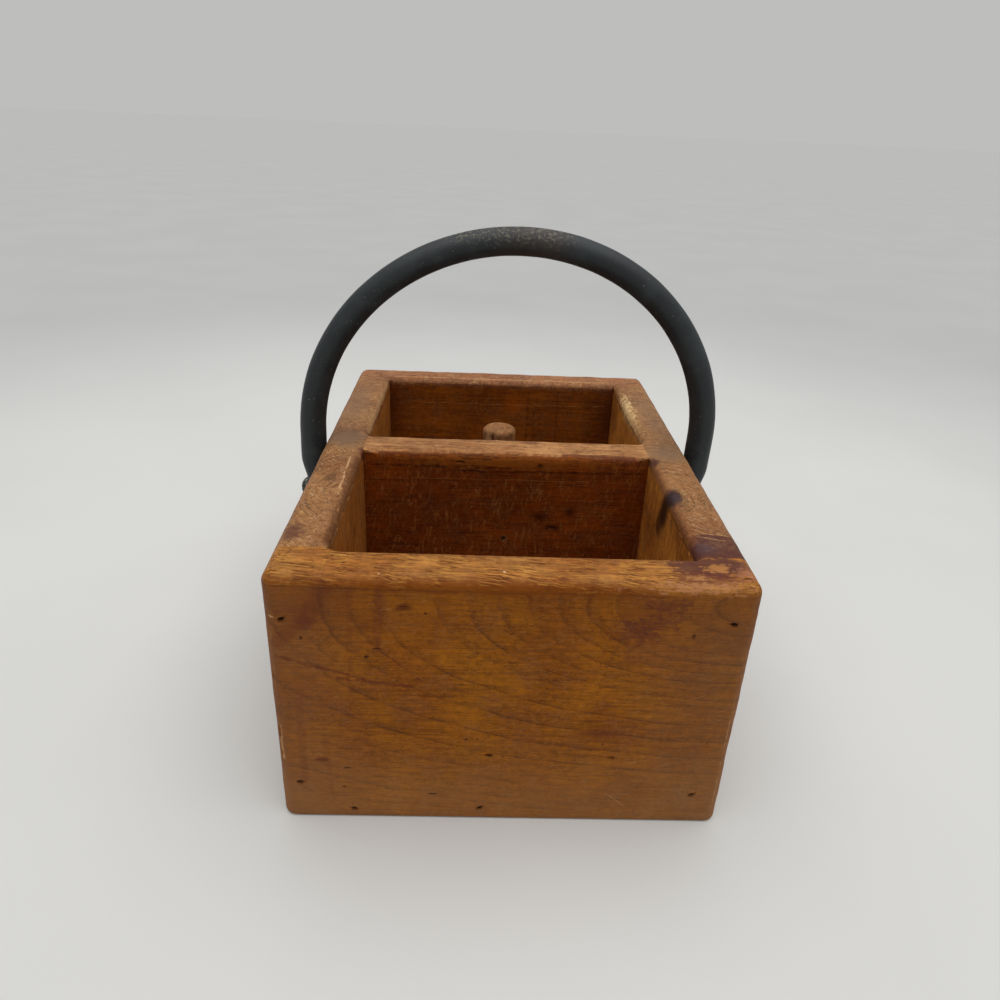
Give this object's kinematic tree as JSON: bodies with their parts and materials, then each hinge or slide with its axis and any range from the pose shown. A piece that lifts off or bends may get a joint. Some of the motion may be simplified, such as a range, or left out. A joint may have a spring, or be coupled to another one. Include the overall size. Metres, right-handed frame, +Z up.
{
  "type": "wooden caddy",
  "caption": "Small nailed wooden box with two compartments, an upright peg in the rear one, and a black bar handle that swings on a screw in each side.",
  "frame": {"origin": "centre of the underside, on the surface that the caddy stands on", "axes": "+X to the right across the box, +Y from the front board to the back board, +Z up"},
  "size_m": [0.1966, 0.235, 0.204],
  "materials": {
    "end_wood": "worn honey-brown shellac over pine",
    "side_wood": "worn honey-brown shellac, end grain on the rim",
    "divider_wood": "worn honey-brown shellac, rubbed pale on top",
    "bottom_wood": "dull, thinly finished wood",
    "peg_wood": "dull grey-brown dowel",
    "bar_black": "matt black paint worn to grey metal on top",
    "screw_steel": "dark tarnished steel",
    "nail_iron": "rusty dark iron"
  },
  "bodies": {
    "box": {"front_board": "end_wood", "back_board": "end_wood", "left_board": "side_wood", "right_board": "side_wood", "divider_board": "divider_wood", "bottom_board": "bottom_wood", "peg": "peg_wood", "peg_screw": "screw_steel", "left_pivot_screw": "screw_steel", "right_pivot_screw": "screw_steel", "left_pivot_washer": "screw_steel", "right_pivot_washer": "screw_steel", "front_nail_upper_left": "nail_iron", "front_nail_lower_left": "nail_iron", "front_nail_upper_right": "nail_iron", "front_nail_lower_right": "nail_iron", "front_floor_nail_left": "nail_iron", "front_floor_nail_middle": "nail_iron", "back_nail_upper_left": "nail_iron", "back_nail_lower_left": "nail_iron", "back_nail_upper_right": "nail_iron", "back_nail_lower_right": "nail_iron", "back_floor_nail_left": "nail_iron", "back_floor_nail_right": "nail_iron", "left_divider_nail_upper": "nail_iron", "left_divider_nail_lower": "nail_iron", "left_floor_nail_front": "nail_iron", "left_floor_nail_back": "nail_iron", "right_divider_nail_upper": "nail_iron", "right_divider_nail_lower": "nail_iron", "right_floor_nail_front": "nail_iron", "right_floor_nail_back": "nail_iron"},
    "handle": {"bail_handle": "bar_black"}
  },
  "joints": [
    {"name": "handle_swing", "type": "hinge", "parent": "box", "child": "handle", "pos_m": [0, 0.01, 0.08], "axis": [1, 0, 0], "range_deg": [-51, 51]}
  ]
}
